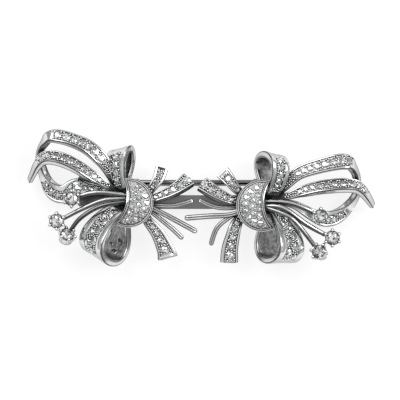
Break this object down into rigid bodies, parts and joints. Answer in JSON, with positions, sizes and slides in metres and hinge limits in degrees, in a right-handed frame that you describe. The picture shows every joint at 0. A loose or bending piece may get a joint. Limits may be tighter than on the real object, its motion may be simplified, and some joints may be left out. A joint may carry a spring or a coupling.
{
  "type": "bow brooch",
  "caption": "Long bow brooch of two stone-set ribbon sprays with domed crescent knots, joined by a bar frame with a pin on the back.",
  "frame": {"origin": "the middle of the surface that the brooch rests on, under the middle of its length and height", "axes": "+X along the brooch's length, to the right seen from the front; +Y up the brooch; +Z out of its face"},
  "size_m": [0.0754, 0.0295, 0.0116],
  "materials": {
    "white_metal": "polished",
    "knot_metal": "polished, with a beaded bed",
    "frame_metal": "polished",
    "stones": "polished, faceted"
  },
  "bodies": {
    "root": {"left_ribbons": "white_metal", "left_tails": "white_metal", "left_stems": "white_metal", "left_knot": "knot_metal", "left_knot_stones": "stones", "left_upper_strap_stones": "stones", "left_middle_strap_stones": "stones", "left_lower_strap_stones": "stones", "left_upper_curl_stones": "stones", "left_lower_curl_stones": "stones", "left_tail_stones_1": "stones", "left_tail_stones_2": "stones", "left_tail_stones_3": "stones", "left_claw_stone_1": "stones", "left_claw_stone_2": "stones", "left_claw_stone_3": "stones", "right_ribbons": "white_metal", "right_tails": "white_metal", "right_stems": "white_metal", "right_knot": "knot_metal", "right_knot_stones": "stones", "right_upper_strap_stones": "stones", "right_middle_strap_stones": "stones", "right_lower_strap_stones": "stones", "right_upper_curl_stones": "stones", "right_lower_curl_stones": "stones", "right_tail_stones_1": "stones", "right_tail_stones_2": "stones", "right_tail_stones_3": "stones", "right_claw_stone_1": "stones", "right_claw_stone_2": "stones", "right_claw_stone_3": "stones", "frame": "frame_metal", "pin": "frame_metal"}
  },
  "joints": []
}
